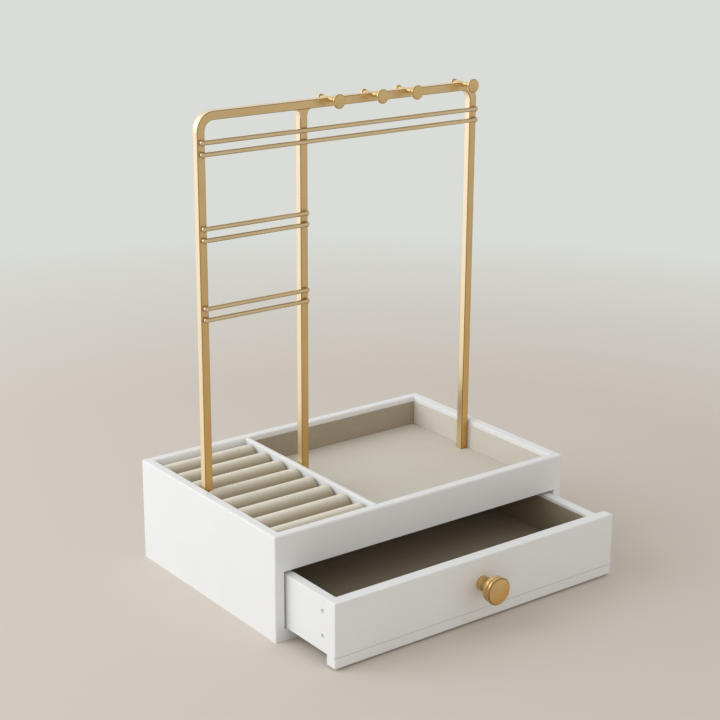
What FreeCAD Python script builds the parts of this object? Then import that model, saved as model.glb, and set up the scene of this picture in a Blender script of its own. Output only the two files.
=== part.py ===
import FreeCAD, Part
import math
import os
import re

import Sketcher

# Jewellery stand: a painted wooden case with a ring compartment, an open tray and one
# drawer, and a square-bar brass frame with hanging rods and pegs that stands in the tray.
# Millimetres. The origin is the middle of the case's underside, +X to the right seen from
# the drawer's side, +Y to the back, +Z up. The drawer is modelled as it stands, partly open.

SIZES = {
    # Case of painted boards
    "case_width": 280,
    "case_depth": 190,
    "case_height": 84,
    "wall": 8,
    "bottom_board": 9.5,
    "tray_under": 55,
    "edge_round": 1.5,
    # Tray above the drawer bay
    "tray_board": 3,
    "ring_width": 85.8,
    "divider": 4,
    "divider_drop": 0.5,
    "lining": 0.8,
    "lining_drop": 4.3,
    # Ring rolls on their pad
    "ring_pad": 3,
    "roll_spacing": 0.55,
    "soft_gap": 0.3,
    # Frame of square bar
    "bar_size": 6.5,
    "bar_round": 0.5,
    "bend_inner": 8,
    "frame_top": 372.5,
    "frame_front": 12.5,
    "post_gap": 0.1,
    "middle_post_gap": 0.3,
    "flare_width": 3,
    "flare_height": 5,
    # Hanging rods, welded across the front of the posts, placed from the frame's top
    "rod_radius": 1.75,
    "rod_ball": 2.2,
    "rod_pitch": 8.7,
    "rod_flat": 0.25,
    "rod_inset": 3.5,
    "upper_rods_drop": 22,
    "middle_rods_drop": 85.4,
    "lower_rods_drop": 145.9,
    # Pegs, turned, sunk into the top of the frame, placed from its right end
    "peg_first": 144.8,
    "peg_second": 103.8,
    "peg_third": 70.1,
    "peg_fourth": 13.7,
    "peg_drop": 1.3,
    "peg_radius": 2,
    "peg_reach": 12.7,
    "peg_tail": 7.2,
    "peg_head": 5.5,
    "peg_rim": 1.5,
    "peg_flare": 6.5,
    "peg_knob": 2.8,
    "peg_knob_length": 3.2,
    # Drawer box
    "drawer_open": 50,
    "side_gap": 1.5,
    "run_gap": 0.3,
    "top_gap": 2.5,
    "drawer_wall": 8,
    "drawer_length": 176,
    "inner_front": 10,
    "inner_front_height": 35.2,
    "floor_lift": 7.2,
    "drawer_floor": 3,
    "groove_depth": 3,
    "groove_slack": 0.1,
    "drawer_lining": 1,
    "drawer_lining_drop": 2.5,
    # Drawer face
    "face_board": 10,
    "face_lift": 1.5,
    "face_round": 1,
    "face_groove_height": 8.1,
    "face_groove_width": 1,
    "face_groove_depth": 0.8,
    # Knob, turned
    "knob_middle": 5,
    "knob_height": 31.3,
    "knob_collar": 5.8,
    "knob_collar_length": 4.4,
    "knob_collar_round": 1,
    "knob_neck": 4.4,
    "knob_neck_end": 8,
    "knob_back": 10.4,
    "knob_back_start": 12.4,
    "knob_back_round": 1.5,
    "knob_groove": 0.6,
    "knob_groove_start": 15.6,
    "knob_rim": 10.9,
    "knob_rim_end": 18.8,
    "knob_rim_round": 0.7,
    "knob_front": 9.5,
    "knob_length": 20,
    # Fasteners
    "fastener_fit": 0.05,
    "screw_spare": 1,
    "post_screw": 1.5,
    "post_screw_head": 2.8,
    "post_screw_length": 12,
    "pin_radius": 1.5,
    "pin_length": 20,
    "pin_low": 12.7,
    "pin_high": 32,
    "face_screw": 2,
    "face_screw_head": 3.8,
    "face_screw_length": 16,
    "face_screw_spread": 80,
    "knob_screw_head_height": 2.6,
    "knob_screw_length": 30,
}

RING_ROLLS = 8
LENGTH_TOLERANCE = 0.01

# Places that several pieces share, as sheet expressions
INNER_X = "(case_width / 2 - wall)"
INNER_Y = "(case_depth / 2 - wall)"
TRAY_FLOOR = "(tray_under + tray_board)"
DIVIDER_LEFT = f"(ring_width - {INNER_X})"
JEWEL_LEFT = f"({DIVIDER_LEFT} + divider)"
JEWEL_WIDTH = f"({INNER_X} - {JEWEL_LEFT})"
LINING_HEIGHT = f"(case_height - {TRAY_FLOOR} - lining - lining_drop)"
ROLL_PITCH = f"(2 * {INNER_Y} / {RING_ROLLS})"
ROLL_RADIUS = f"({ROLL_PITCH} / 2 - roll_spacing / 2)"
HOOP_LEFT = f"(lining + post_gap - {INNER_X})"
LEFT_POST = HOOP_LEFT
RIGHT_POST = f"(-{HOOP_LEFT} - bar_size)"
MIDDLE_POST = f"({JEWEL_LEFT} + lining + middle_post_gap)"
HOOP_HEIGHT = f"(frame_top - {TRAY_FLOOR})"
ROD_Y = "(frame_front - rod_radius + rod_flat)"
DRAWER_LEFT = f"(side_gap - {INNER_X})"
DRAWER_WIDTH = f"(2 * {INNER_X} - 2 * side_gap)"
DRAWER_FRONT = "(-case_depth / 2 - drawer_open)"
DRAWER_UNDER = "(bottom_board + run_gap)"
SIDE_HEIGHT = f"(tray_under - top_gap - {DRAWER_UNDER})"
HOLD_LEFT = f"({DRAWER_LEFT} + drawer_wall)"
HOLD_WIDTH = f"({DRAWER_WIDTH} - 2 * drawer_wall)"
HOLD_FRONT = f"({DRAWER_FRONT} + inner_front)"
HOLD_DEPTH = "(drawer_length - inner_front - drawer_wall)"
HOLD_FLOOR = f"({DRAWER_UNDER} + floor_lift + drawer_floor)"
TONGUE = "(groove_depth - groove_slack)"
POST_HOLE = "(post_screw + fastener_fit)"
POST_HEAD_HOLE = "(post_screw_head + fastener_fit)"
PIN_HOLE = "(pin_radius + fastener_fit)"
FACE_HOLE = "(face_screw + fastener_fit)"
FACE_HEAD_HOLE = "(face_screw_head + fastener_fit)"

ALONG_X = FreeCAD.Rotation(FreeCAD.Vector(0, 1, 0), 90)
ALONG_Y = FreeCAD.Rotation(FreeCAD.Vector(1, 0, 0), -90)
FORWARD = FreeCAD.Rotation(FreeCAD.Vector(0, 0, 1), 180)
UPRIGHT = FreeCAD.Rotation()

doc = FreeCAD.newDocument("JewelleryStand")
sheet = doc.addObject("Spreadsheet::Sheet", "Dims")
for row, (name, value) in enumerate(SIZES.items(), 1):
    sheet.set(f"A{row}", name)
    sheet.set(f"B{row}", str(value))
    sheet.setAlias(f"B{row}", name)
doc.recompute()


def bind(item, prop, text):
    """Bind a property to an expression in which each size name is a cell of the sheet."""
    words = re.sub(r"[a-z_]+", lambda word: f"Dims.{word[0]}" if word[0] in SIZES else word[0], text)
    item.setExpression(prop, words)


def place(item, corner, rotation=UPRIGHT):
    item.Placement = FreeCAD.Placement(FreeCAD.Vector(), rotation)
    for axis, text in zip("xyz", corner):
        bind(item, f"Placement.Base.{axis}", text)


def new_body(label, corner, rotation=UPRIGHT):
    body = doc.addObject("PartDesign::Body", label)
    body.Label = label
    place(body, corner, rotation)
    return body


def box(body, kind, name, size, corner=("0", "0", "0")):
    """An additive or subtractive box, from its low corner in the body."""
    item = body.newObject(f"PartDesign::{kind}Box", name)
    for prop, text in zip(("Length", "Width", "Height"), size):
        bind(item, prop, text)
    place(item, corner)
    return item


def cylinder(body, kind, name, radius, length, start, rotation=UPRIGHT):
    """An additive or subtractive cylinder, from the middle of its first end."""
    item = body.newObject(f"PartDesign::{kind}Cylinder", name)
    bind(item, "Radius", radius)
    bind(item, "Height", length)
    place(item, start, rotation)
    return item


def straight_edges(feature, along, **sides):
    """Names of the straight edges along one axis that lie on the given sides of the box."""
    doc.recompute()
    bounds = feature.Shape.BoundBox
    limits = {
        "x": {"low": bounds.XMin, "high": bounds.XMax},
        "y": {"low": bounds.YMin, "high": bounds.YMax},
        "z": {"low": bounds.ZMin, "high": bounds.ZMax},
    }
    names = []
    for number, edge in enumerate(feature.Shape.Edges, 1):
        if not isinstance(edge.Curve, Part.Line):
            continue
        middle = edge.CenterOfMass
        parallel = abs(getattr(edge.tangentAt(edge.FirstParameter), along)) > 1 - LENGTH_TOLERANCE
        on_sides = all(
            abs(getattr(middle, axis) - limits[axis][side]) < LENGTH_TOLERANCE
            for axis, side in sides.items()
        )
        if parallel and on_sides:
            names.append(f"Edge{number}")
    return names


def turned_edges(feature, distances):
    """Names of the round edges at the given distances along a piece turned round the Y axis."""
    doc.recompute()
    return [
        f"Edge{number}"
        for number, edge in enumerate(feature.Shape.Edges, 1)
        if isinstance(edge.Curve, Part.Circle)
        and abs(edge.Curve.Axis.y) > 1 - LENGTH_TOLERANCE
        and any(abs(edge.Curve.Center.y - distance) < LENGTH_TOLERANCE for distance in distances)
    ]


def round_edges(body, name, feature, edges, radius):
    fillet = body.newObject("PartDesign::Fillet", name)
    fillet.Base = (feature, edges)
    bind(fillet, "Radius", radius)
    return fillet


def outline(body, plane, name, points):
    """A closed sketch of lines, each corner held at its two distances from the origin."""
    sketch = body.newObject("Sketcher::SketchObject", name)
    planes = {item.Role: item for item in body.Origin.OriginFeatures}
    sketch.AttachmentSupport = (planes[plane], [""])
    sketch.MapMode = "FlatFace"
    count = len(points)
    turns = [2 * math.pi * step / count for step in range(count + 1)]
    spots = [FreeCAD.Vector(math.cos(turn), math.sin(turn), 0) for turn in turns]
    for start, end in zip(spots, spots[1:]):
        sketch.addGeometry(Part.LineSegment(start, end))
    for line in range(count):
        sketch.addConstraint(Sketcher.Constraint("Coincident", line, 2, (line + 1) % count, 1))
    for line, corner in enumerate(points):
        for kind, axis, text in zip(("DistanceX", "DistanceY"), (-2, -1), corner):
            if text == "0":
                sketch.addConstraint(Sketcher.Constraint("PointOnObject", line, 1, axis))
            else:
                held = sketch.addConstraint(Sketcher.Constraint(kind, -1, 1, line, 1, 1.0))
                bind(sketch, f"Constraints[{held}]", text)
    return sketch


def turned(body, plane, name, points):
    """A solid turned round the sketch's upright axis, from points (radius, distance)."""
    sketch = outline(body, plane, f"{name}_outline", points)
    solid = body.newObject("PartDesign::Revolution", name)
    solid.Profile = sketch
    solid.ReferenceAxis = (sketch, ["V_Axis"])
    solid.Angle = 360
    sketch.Visibility = False
    return solid


def board(label, size, corner):
    """A flat board as a body of its own. Returns the body and the board's box."""
    body = new_body(label, corner)
    return body, box(body, "Additive", f"{label}_board", size)


# Case

def case_side(label, left, outer):
    size = ("wall", "case_depth", "case_height")
    body, plank = board(label, size, (left, "-case_depth / 2", "0"))
    edges = straight_edges(plank, "y", z="high") + straight_edges(plank, "z", x=outer)
    round_edges(body, f"{label}_edges", plank, edges, "edge_round")


def case_crosspieces():
    """Front rail, back and bottom, between the two sides."""
    width = f"2 * {INNER_X}"
    rail_size = (width, "wall", "case_height - tray_under")
    body, rail = board("case_front_rail", rail_size, (f"-{INNER_X}", "-case_depth / 2", "tray_under"))
    round_edges(body, "rail_edges", rail, straight_edges(rail, "x", z="high"), "edge_round")
    back_size = (width, "wall", "case_height")
    body, back = board("case_back", back_size, (f"-{INNER_X}", INNER_Y, "0"))
    round_edges(body, "back_edges", back, straight_edges(back, "x", z="high"), "edge_round")
    bottom_size = (width, "case_depth - wall", "bottom_board")
    board("case_bottom", bottom_size, (f"-{INNER_X}", "-case_depth / 2", "0"))


case_side("case_side_left", "-case_width / 2", "low")
case_side("case_side_right", INNER_X, "high")
case_crosspieces()


# Tray

POSTS = {"left": LEFT_POST, "middle": MIDDLE_POST, "right": RIGHT_POST}


def tray_floor_board():
    """The tray's floor, with a countersunk hole under each post."""
    corner = (f"-{INNER_X}", f"-{INNER_Y}", "tray_under")
    body, _ = board("tray_floor_board", (f"2 * {INNER_X}", f"2 * {INNER_Y}", "tray_board"), corner)
    for side, left in POSTS.items():
        middle = (f"{left} + bar_size / 2 + {INNER_X}", f"frame_front + bar_size / 2 + {INNER_Y}", "0")
        cylinder(body, "Subtractive", f"{side}_post_hole", POST_HOLE, "tray_board", middle)
        sink = body.newObject("PartDesign::SubtractiveCone", f"{side}_post_countersink")
        bind(sink, "Radius1", POST_HEAD_HOLE)
        bind(sink, "Radius2", POST_HOLE)
        bind(sink, "Height", "post_screw_head - post_screw")
        place(sink, middle)


def tray_linings():
    wall_floor = f"{TRAY_FLOOR} + lining"
    size = (JEWEL_WIDTH, f"2 * {INNER_Y}", "lining")
    body, _ = board("tray_floor_lining", size, (JEWEL_LEFT, f"-{INNER_Y}", TRAY_FLOOR))
    for side in ("middle", "right"):
        cut_size = ("bar_size + 2 * post_gap", "bar_size + 2 * post_gap", "lining")
        cut_x = f"{POSTS[side]} - post_gap - {JEWEL_LEFT}"
        cut_y = f"frame_front - post_gap + {INNER_Y}"
        box(body, "Subtractive", f"{side}_post_cut", cut_size, (cut_x, cut_y, "0"))
    long_size = (JEWEL_WIDTH, "lining", LINING_HEIGHT)
    board("tray_lining_front", long_size, (JEWEL_LEFT, f"-{INNER_Y}", wall_floor))
    board("tray_lining_back", long_size, (JEWEL_LEFT, f"{INNER_Y} - lining", wall_floor))
    cross_size = ("lining", f"2 * {INNER_Y} - 2 * lining", LINING_HEIGHT)
    board("tray_lining_divider", cross_size, (JEWEL_LEFT, f"lining - {INNER_Y}", wall_floor))
    board("tray_lining_right", cross_size, (f"{INNER_X} - lining", f"lining - {INNER_Y}", wall_floor))


def tray_divider():
    size = ("divider", f"2 * {INNER_Y}", f"case_height - divider_drop - {TRAY_FLOOR}")
    board("tray_divider", size, (DIVIDER_LEFT, f"-{INNER_Y}", TRAY_FLOOR))


tray_floor_board()
tray_linings()
tray_divider()


# Ring compartment

def post_notch(body, name, corner_y, height, start_z):
    """Room for the left post at the left end of a soft piece that starts near the wall."""
    size = ("lining + post_gap + bar_size + soft_gap", "bar_size + 2 * soft_gap", height)
    box(body, "Subtractive", name, size, ("0", corner_y, start_z))


def ring_base_pad():
    size = ("ring_width", f"2 * {INNER_Y}", "ring_pad")
    body, _ = board("ring_base_pad", size, (f"-{INNER_X}", f"-{INNER_Y}", TRAY_FLOOR))
    post_notch(body, "left_post_cut", f"frame_front - soft_gap + {INNER_Y}", "ring_pad", "0")


def roll_meets_post(number):
    inner = SIZES["case_depth"] / 2 - SIZES["wall"]
    pitch = 2 * inner / RING_ROLLS
    middle = inner - pitch * (number - 0.5)
    post_middle = SIZES["frame_front"] + SIZES["bar_size"] / 2
    return abs(middle - post_middle) < (pitch - SIZES["roll_spacing"] + SIZES["bar_size"]) / 2


def ring_roll(number):
    """One padded roll across the compartment, the first one at the back."""
    label = f"ring_roll_{number}"
    middle_y = f"({INNER_Y} - {ROLL_PITCH} * {number - 0.5})"
    middle_z = f"{TRAY_FLOOR} + ring_pad + soft_gap + {ROLL_RADIUS}"
    body = new_body(label, (f"-{INNER_X}", middle_y, middle_z))
    length = "ring_width - 2 * soft_gap"
    cylinder(body, "Additive", f"{label}_roll", ROLL_RADIUS, length, ("soft_gap", "0", "0"), ALONG_X)
    if roll_meets_post(number):
        corner_y = f"frame_front - soft_gap - {middle_y}"
        post_notch(body, f"{label}_notch", corner_y, f"2 * {ROLL_RADIUS}", f"-{ROLL_RADIUS}")


ring_base_pad()
for roll in range(1, RING_ROLLS + 1):
    ring_roll(roll)


# Frame

PEGS = [f"(-{HOOP_LEFT} - {place})" for place in ("peg_first", "peg_second", "peg_third", "peg_fourth")]


def post_screw_hole(body, name, middle_x, middle_y):
    depth = "post_screw_length - tray_board + screw_spare"
    cylinder(body, "Subtractive", name, POST_HOLE, depth, (middle_x, middle_y, "0"))


def frame_hoop():
    """Left post, top bar and right post in one bent square bar, notched for the pegs."""
    body = new_body("frame_hoop", (HOOP_LEFT, "frame_front", TRAY_FLOOR))
    width = f"(-2 * {HOOP_LEFT})"
    box(body, "Additive", "hoop_outside", (width, "bar_size", HOOP_HEIGHT))
    inside = (f"{width} - 2 * bar_size", "bar_size", f"{HOOP_HEIGHT} - bar_size")
    window = box(body, "Subtractive", "hoop_window", inside, ("bar_size", "0", "0"))
    outermost = straight_edges(window, "y", z="low") + straight_edges(window, "y", z="high")
    inner = [edge for edge in straight_edges(window, "y") if edge not in outermost]
    bent = round_edges(body, "hoop_inner_bends", window, inner, "bend_inner")
    outer = straight_edges(bent, "y", z="high")
    bent = round_edges(body, "hoop_outer_bends", bent, outer, "bend_inner + bar_size")
    round_edges(body, "hoop_edges", bent, straight_edges(bent, "z"), "bar_round")
    for number, middle in enumerate(PEGS, 1):
        start = (f"{middle} - {HOOP_LEFT}", "0", f"{HOOP_HEIGHT} - peg_drop")
        radius = "peg_radius + fastener_fit"
        cylinder(body, "Subtractive", f"peg_{number}_notch", radius, "bar_size", start, ALONG_Y)
    for side in ("left", "right"):
        middle_x = f"{POSTS[side]} + bar_size / 2 - {HOOP_LEFT}"
        post_screw_hole(body, f"{side}_screw_hole", middle_x, "bar_size / 2")


def middle_post():
    """Straight post under the top bar, flared where it is welded to it."""
    height = f"(frame_top - bar_size - {TRAY_FLOOR})"
    corner = (f"{MIDDLE_POST} - flare_width", "frame_front + bar_size", TRAY_FLOOR)
    body = new_body("middle_post", corner)
    left = "flare_width"
    right = "flare_width + bar_size"
    bulge = "flare_width / 4"
    knee = f"{height} - flare_height / 3"
    points = [
        (left, "0"),
        (right, "0"),
        (right, f"{height} - flare_height"),
        (f"{right} + {bulge}", knee),
        (f"2 * flare_width + bar_size", height),
        ("0", height),
        (f"{left} - {bulge}", knee),
        (left, f"{height} - flare_height"),
    ]
    sketch = outline(body, "XZ_Plane", "post_outline", points)
    pad = body.newObject("PartDesign::Pad", "post_bar")
    pad.Profile = sketch
    bind(pad, "Length", "bar_size")
    sketch.Visibility = False
    round_edges(body, "post_edges", pad, straight_edges(pad, "z"), "bar_round")
    post_screw_hole(body, "middle_screw_hole", "flare_width + bar_size / 2", "-bar_size / 2")


def rod(label, height, posts):
    """A hanging rod with ball ends, flattened where it is welded to each post."""
    last = POSTS[posts[-1]]
    start_x = f"({HOOP_LEFT} + rod_inset)"
    length = f"({last} + bar_size - rod_ball - {start_x})"
    body = new_body(label, (start_x, ROD_Y, height))
    cylinder(body, "Additive", f"{label}_bar", "rod_radius", length, ("0", "0", "0"), ALONG_X)
    for end, place_x in (("left", "0"), ("right", length)):
        ball = body.newObject("PartDesign::AdditiveSphere", f"{label}_{end}_ball")
        bind(ball, "Radius", "rod_ball")
        place(ball, (place_x, "0", "0"))
    for side in posts:
        size = ("bar_size + 2 * rod_flat", "2 * rod_ball", "2 * rod_ball")
        corner = (f"{POSTS[side]} - rod_flat - {start_x}", "rod_radius - rod_flat", "-rod_ball")
        box(body, "Subtractive", f"{label}_{side}_flat", size, corner)


def peg(number, middle):
    """A turned peg across the top bar: knob at the back, flared head at the front."""
    length = "(peg_reach + bar_size + peg_tail)"
    corner = (middle, "frame_front + bar_size + peg_tail", "frame_top - peg_drop")
    body = new_body(f"peg_{number}", corner, FORWARD)
    points = [
        ("0", "0"),
        ("peg_knob - peg_knob_length / 4", "0"),
        ("peg_knob", "peg_knob_length / 4"),
        ("peg_knob", "3 * peg_knob_length / 4"),
        ("peg_radius", "peg_knob_length"),
        ("peg_radius", f"{length} - peg_rim - peg_flare"),
        ("peg_radius + (peg_head - peg_radius) / 4", f"{length} - peg_rim - peg_flare / 2"),
        ("peg_radius + (peg_head - peg_radius) * 3 / 5", f"{length} - peg_rim - peg_flare / 5"),
        ("peg_head", f"{length} - peg_rim"),
        ("peg_head", f"{length} - peg_rim / 3"),
        ("peg_head - peg_rim / 3", length),
        ("0", length),
    ]
    turned(body, "XY_Plane", f"peg_{number}_turning", points)


def countersunk_screw(label, corner, plane, rotation, radius, head, length):
    body = new_body(label, corner, rotation)
    points = [("0", "0"), (head, "0"), (radius, f"{head} - {radius}"), (radius, length), ("0", length)]
    turned(body, plane, f"{label}_turning", points)


frame_hoop()
middle_post()
for pair, posts in (
    ("upper", ("left", "middle", "right")),
    ("middle", ("left", "middle")),
    ("lower", ("left", "middle")),
):
    height = f"frame_top - {pair}_rods_drop"
    rod(f"rod_{pair}_1", height, posts)
    rod(f"rod_{pair}_2", f"{height} - rod_pitch", posts)
for number, middle in enumerate(PEGS, 1):
    peg(number, middle)
for side, left in POSTS.items():
    corner = (f"{left} + bar_size / 2", "frame_front + bar_size / 2", "tray_under")
    countersunk_screw(
        f"post_screw_{side}", corner, "XZ_Plane", UPRIGHT,
        "post_screw", "post_screw_head", "post_screw_length",
    )


# Drawer

PINS = {"low": "pin_low", "high": "pin_high"}
FACE_SCREWS = {"left": "-face_screw_spread", "right": "face_screw_spread"}


def drawer_side(label, left, inner):
    """A side with the floor's groove and the holes for the pins of the inner front."""
    size = ("drawer_wall", "drawer_length", SIDE_HEIGHT)
    body, plank = board(label, size, (left, DRAWER_FRONT, DRAWER_UNDER))
    edges = straight_edges(plank, "y", z="high")
    round_edges(body, f"{label}_edges", plank, edges, "face_round")
    groove_size = ("groove_depth", "drawer_length", "drawer_floor + 2 * groove_slack")
    groove_x = "drawer_wall - groove_depth" if inner == "high" else "0"
    box(body, "Subtractive", f"{label}_groove", groove_size, (groove_x, "0", "floor_lift - groove_slack"))
    for name, height in PINS.items():
        start = ("0", "inner_front / 2", height)
        hole = f"{label}_{name}_hole"
        cylinder(body, "Subtractive", hole, PIN_HOLE, "drawer_wall", start, ALONG_X)


def drawer_inner_front():
    """The cross board behind the face, lower than the sides, bored for its fasteners."""
    size = (HOLD_WIDTH, "inner_front", "inner_front_height")
    body, _ = board("drawer_inner_front", size, (HOLD_LEFT, DRAWER_FRONT, DRAWER_UNDER))
    groove_size = (HOLD_WIDTH, "groove_depth", "drawer_floor + 2 * groove_slack")
    groove_corner = ("0", "inner_front - groove_depth", "floor_lift - groove_slack")
    box(body, "Subtractive", "inner_front_groove", groove_size, groove_corner)
    depth = "(pin_length - drawer_wall)"
    for end, start_x in (("left", "0"), ("right", f"{HOLD_WIDTH} - {depth}")):
        for name, height in PINS.items():
            start = (start_x, "inner_front / 2", height)
            hole = f"inner_front_{end}_{name}_hole"
            cylinder(body, "Subtractive", hole, PIN_HOLE, depth, start, ALONG_X)
    centre_z = f"knob_height - {DRAWER_UNDER}"
    for side, middle in FACE_SCREWS.items():
        start = (f"{middle} - {HOLD_LEFT}", "0", centre_z)
        hole = f"inner_front_{side}_face_screw"
        cylinder(body, "Subtractive", hole, FACE_HOLE, "inner_front", start, ALONG_Y)
        sink = body.newObject("PartDesign::SubtractiveCone", f"{hole}_countersink")
        bind(sink, "Radius1", FACE_HOLE)
        bind(sink, "Radius2", FACE_HEAD_HOLE)
        bind(sink, "Height", "face_screw_head - face_screw")
        sink_y = "inner_front - (face_screw_head - face_screw)"
        place(sink, (f"{middle} - {HOLD_LEFT}", sink_y, centre_z), ALONG_Y)
    knob_x = f"knob_middle - {HOLD_LEFT}"
    start = (knob_x, "0", centre_z)
    cylinder(body, "Subtractive", "knob_screw_hole", FACE_HOLE, "inner_front", start, ALONG_Y)
    head_y = "inner_front - knob_screw_head_height"
    cylinder(
        body, "Subtractive", "knob_screw_head_hole", FACE_HEAD_HOLE,
        "knob_screw_head_height", (knob_x, head_y, centre_z), ALONG_Y,
    )


def drawer_back():
    corner = (HOLD_LEFT, f"{HOLD_FRONT} + {HOLD_DEPTH}", DRAWER_UNDER)
    body, plank = board("drawer_back", (HOLD_WIDTH, "drawer_wall", SIDE_HEIGHT), corner)
    round_edges(body, "drawer_back_edges", plank, straight_edges(plank, "x", z="high"), "face_round")
    groove_size = (HOLD_WIDTH, "groove_depth", "drawer_floor + 2 * groove_slack")
    box(body, "Subtractive", "drawer_back_groove", groove_size, ("0", "0", "floor_lift - groove_slack"))


def drawer_bottom():
    size = (f"{HOLD_WIDTH} + 2 * {TONGUE}", f"{HOLD_DEPTH} + 2 * {TONGUE}", "drawer_floor")
    corner = (f"{HOLD_LEFT} - {TONGUE}", f"{HOLD_FRONT} - {TONGUE}", f"{DRAWER_UNDER} + floor_lift")
    board("drawer_bottom", size, corner)


def drawer_linings():
    wall_floor = f"({HOLD_FLOOR} + drawer_lining)"
    side_top = f"({DRAWER_UNDER} + {SIDE_HEIGHT} - drawer_lining_drop)"
    front_top = f"({DRAWER_UNDER} + inner_front_height - drawer_lining)"
    floor_size = (HOLD_WIDTH, HOLD_DEPTH, "drawer_lining")
    board("drawer_floor_lining", floor_size, (HOLD_LEFT, HOLD_FRONT, HOLD_FLOOR))
    side_height = f"{side_top} - {wall_floor}"
    cross_size = ("drawer_lining", f"{HOLD_DEPTH} - 2 * drawer_lining", side_height)
    side_y = f"{HOLD_FRONT} + drawer_lining"
    board("drawer_lining_left", cross_size, (HOLD_LEFT, side_y, wall_floor))
    right_x = f"{HOLD_LEFT} + {HOLD_WIDTH} - drawer_lining"
    board("drawer_lining_right", cross_size, (right_x, side_y, wall_floor))
    front_size = (HOLD_WIDTH, "drawer_lining", f"{front_top} - {wall_floor}")
    board("drawer_lining_front", front_size, (HOLD_LEFT, HOLD_FRONT, wall_floor))
    back_y = f"{HOLD_FRONT} + {HOLD_DEPTH} - drawer_lining"
    board("drawer_lining_back", (HOLD_WIDTH, "drawer_lining", side_height), (HOLD_LEFT, back_y, wall_floor))


def drawer_face():
    """Overlay face: level with the left side, and over the case's right side."""
    size = (f"case_width / 2 - {DRAWER_LEFT}", "face_board", "tray_under - top_gap - face_lift")
    corner = (DRAWER_LEFT, f"{DRAWER_FRONT} - face_board", "face_lift")
    body, plank = board("drawer_face", size, corner)
    edges = straight_edges(plank, "x", y="low") + straight_edges(plank, "z", y="low")
    edges += straight_edges(plank, "x", y="high", z="high")
    round_edges(body, "face_edges", plank, edges, "face_round")
    groove_size = (size[0], "face_groove_depth", "face_groove_width")
    box(body, "Subtractive", "face_groove", groove_size, ("0", "0", "face_groove_height"))
    centre_z = "knob_height - face_lift"
    for side, middle in FACE_SCREWS.items():
        depth = "(face_screw_length - inner_front + screw_spare)"
        start = (f"{middle} - {DRAWER_LEFT}", f"face_board - {depth}", centre_z)
        cylinder(body, "Subtractive", f"face_{side}_screw", FACE_HOLE, depth, start, ALONG_Y)
    start = (f"knob_middle - {DRAWER_LEFT}", "0", centre_z)
    cylinder(body, "Subtractive", "face_knob_screw", FACE_HOLE, "face_board", start, ALONG_Y)


def knob():
    """Turned knob: collar, neck, rounded back, groove, rim and flat front, bored for its screw."""
    body = new_body("knob", ("knob_middle", f"{DRAWER_FRONT} - face_board", "knob_height"), FORWARD)
    groove_middle = "knob_groove_start + knob_groove"
    points = [
        ("0", "0"),
        ("knob_collar", "0"),
        ("knob_collar", "knob_collar_length"),
        ("knob_neck", "knob_collar_length + (knob_collar - knob_neck)"),
        ("knob_neck", "knob_neck_end"),
        ("knob_back", "knob_back_start"),
        ("knob_back", "knob_groove_start"),
        ("knob_back - knob_groove", groove_middle),
        ("knob_rim", f"{groove_middle} + (knob_rim - knob_back + knob_groove)"),
        ("knob_rim", "knob_rim_end"),
        ("knob_front", "knob_length"),
        ("0", "knob_length"),
    ]
    feature = turned(body, "XY_Plane", "knob_turning", points)
    for name, places in (
        ("collar", ("knob_collar_length",)),
        ("back", ("knob_back_start",)),
        ("rim", ("knob_rim_end", "knob_length")),
    ):
        edges = turned_edges(feature, [SIZES[place] for place in places])
        feature = round_edges(body, f"knob_{name}_edges", feature, edges, f"knob_{name}_round")
    depth = "knob_screw_length - inner_front - face_board + screw_spare"
    cylinder(body, "Subtractive", "knob_thread", FACE_HOLE, depth, ("0", "0", "0"), ALONG_Y)


def knob_screw():
    """Cheese-head screw from inside the drawer, through both front boards into the knob."""
    body = new_body("knob_screw", ("knob_middle", HOLD_FRONT, "knob_height"), FORWARD)
    shank = "face_screw"
    points = [
        ("0", "0"),
        ("face_screw_head", "0"),
        ("face_screw_head", "knob_screw_head_height"),
        (shank, "knob_screw_head_height"),
        (shank, "knob_screw_length"),
        ("0", "knob_screw_length"),
    ]
    turned(body, "XY_Plane", "knob_screw_turning", points)


def drawer_pins():
    """Pins through the sides into the ends of the inner front, level with the sides."""
    for side, start_x in (("left", DRAWER_LEFT), ("right", f"-{DRAWER_LEFT} - pin_length")):
        for name, height in PINS.items():
            label = f"drawer_pin_{side}_{name}"
            corner = (start_x, f"{DRAWER_FRONT} + inner_front / 2", f"{DRAWER_UNDER} + {height}")
            body = new_body(label, corner)
            cylinder(body, "Additive", f"{label}_rod", "pin_radius", "pin_length", ("0", "0", "0"), ALONG_X)


drawer_side("drawer_side_left", DRAWER_LEFT, "high")
drawer_side("drawer_side_right", f"-{DRAWER_LEFT} - drawer_wall", "low")
drawer_inner_front()
drawer_back()
drawer_bottom()
drawer_linings()
drawer_face()
knob()
knob_screw()
drawer_pins()
for side, middle in FACE_SCREWS.items():
    countersunk_screw(
        f"face_screw_{side}", (middle, HOLD_FRONT, "knob_height"), "XY_Plane", FORWARD,
        "face_screw", "face_screw_head", "face_screw_length",
    )


# Check every object, then write each body to its own file

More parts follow.
